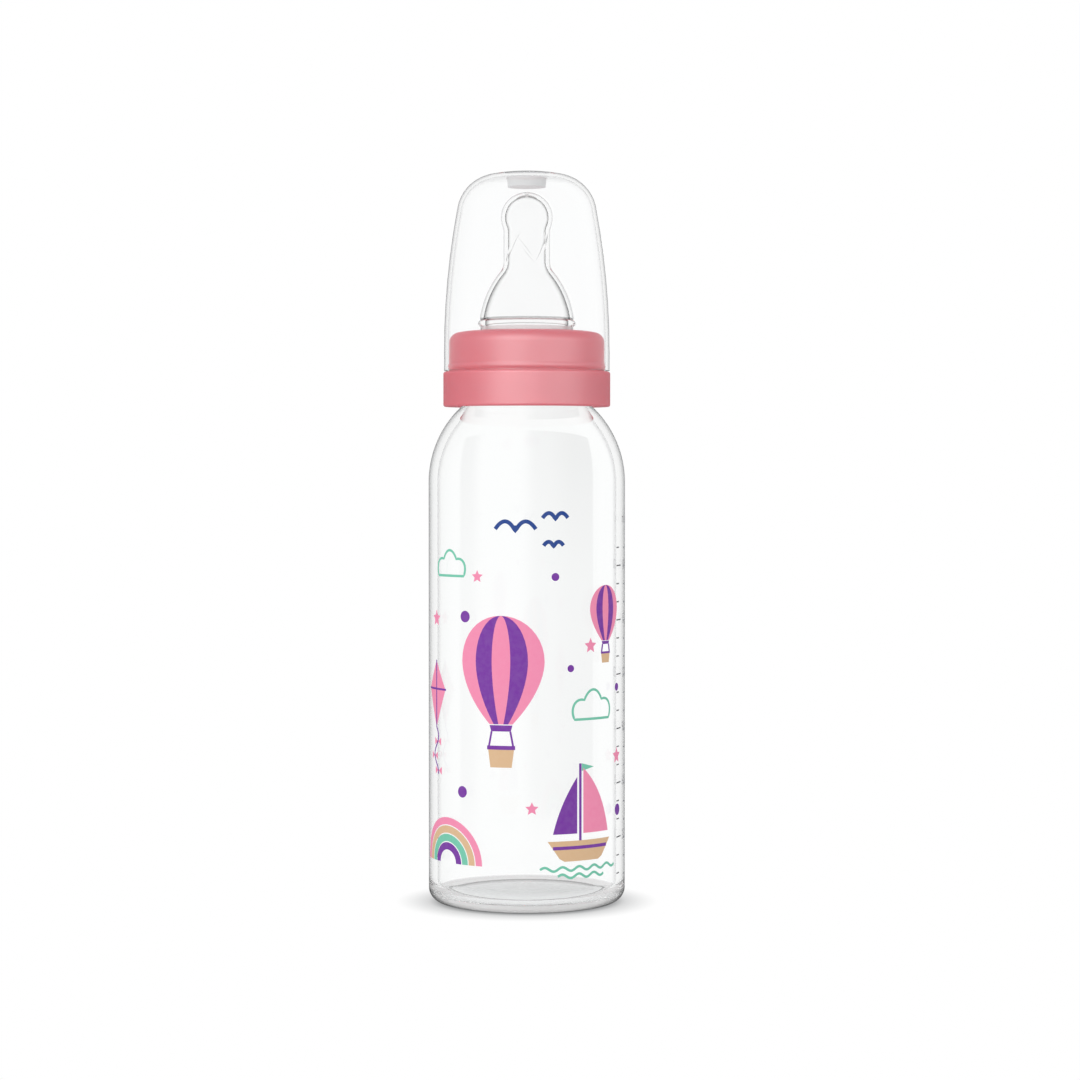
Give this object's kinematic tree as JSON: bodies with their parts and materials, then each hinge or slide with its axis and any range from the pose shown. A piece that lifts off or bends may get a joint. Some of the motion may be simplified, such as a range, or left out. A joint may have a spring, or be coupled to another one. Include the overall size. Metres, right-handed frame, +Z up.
{
  "type": "feeding bottle",
  "caption": "Glass feeding bottle with a round shoulder, a screw collar that clamps a silicone teat on its mouth, and a clear pull-off cap over the teat.",
  "frame": {"origin": "centre of the bottle's foot, on the surface it stands on", "axes": "+Z up along the common axis of all four pieces; -Y is the printed front that faces the camera"},
  "size_m": [0.055, 0.055, 0.2044],
  "materials": {
    "clear_glass": "polished clear borosilicate glass",
    "clear_silicone": "smooth clear liquid silicone rubber",
    "pink_plastic": "satin moulded polypropylene, solid pink",
    "clear_plastic": "clear moulded polypropylene, slightly hazy boss"
  },
  "bodies": {
    "bottle": {"bottle": "clear_glass"},
    "teat": {"teat": "clear_silicone"},
    "collar": {"screw_collar": "pink_plastic"},
    "cap": {"cap": "clear_plastic"}
  },
  "joints": [
    {"name": "collar_lift", "type": "slide", "parent": "bottle", "child": "teat", "axis": [0, 0, 1], "range_m": [0, 0.02]},
    {"name": "collar_turn", "type": "hinge", "parent": "teat", "child": "collar", "pos_m": [0, 0, 0.148], "axis": [0, 0, 1], "range_deg": [0, 1800]},
    {"name": "cap_pull", "type": "slide", "parent": "collar", "child": "cap", "axis": [0, 0, 1], "range_m": [0, 0.06]}
  ],
  "couplings": [
    {"joint": "collar_lift", "follows": "collar_turn", "m_per_rad": 0.00063662}
  ]
}
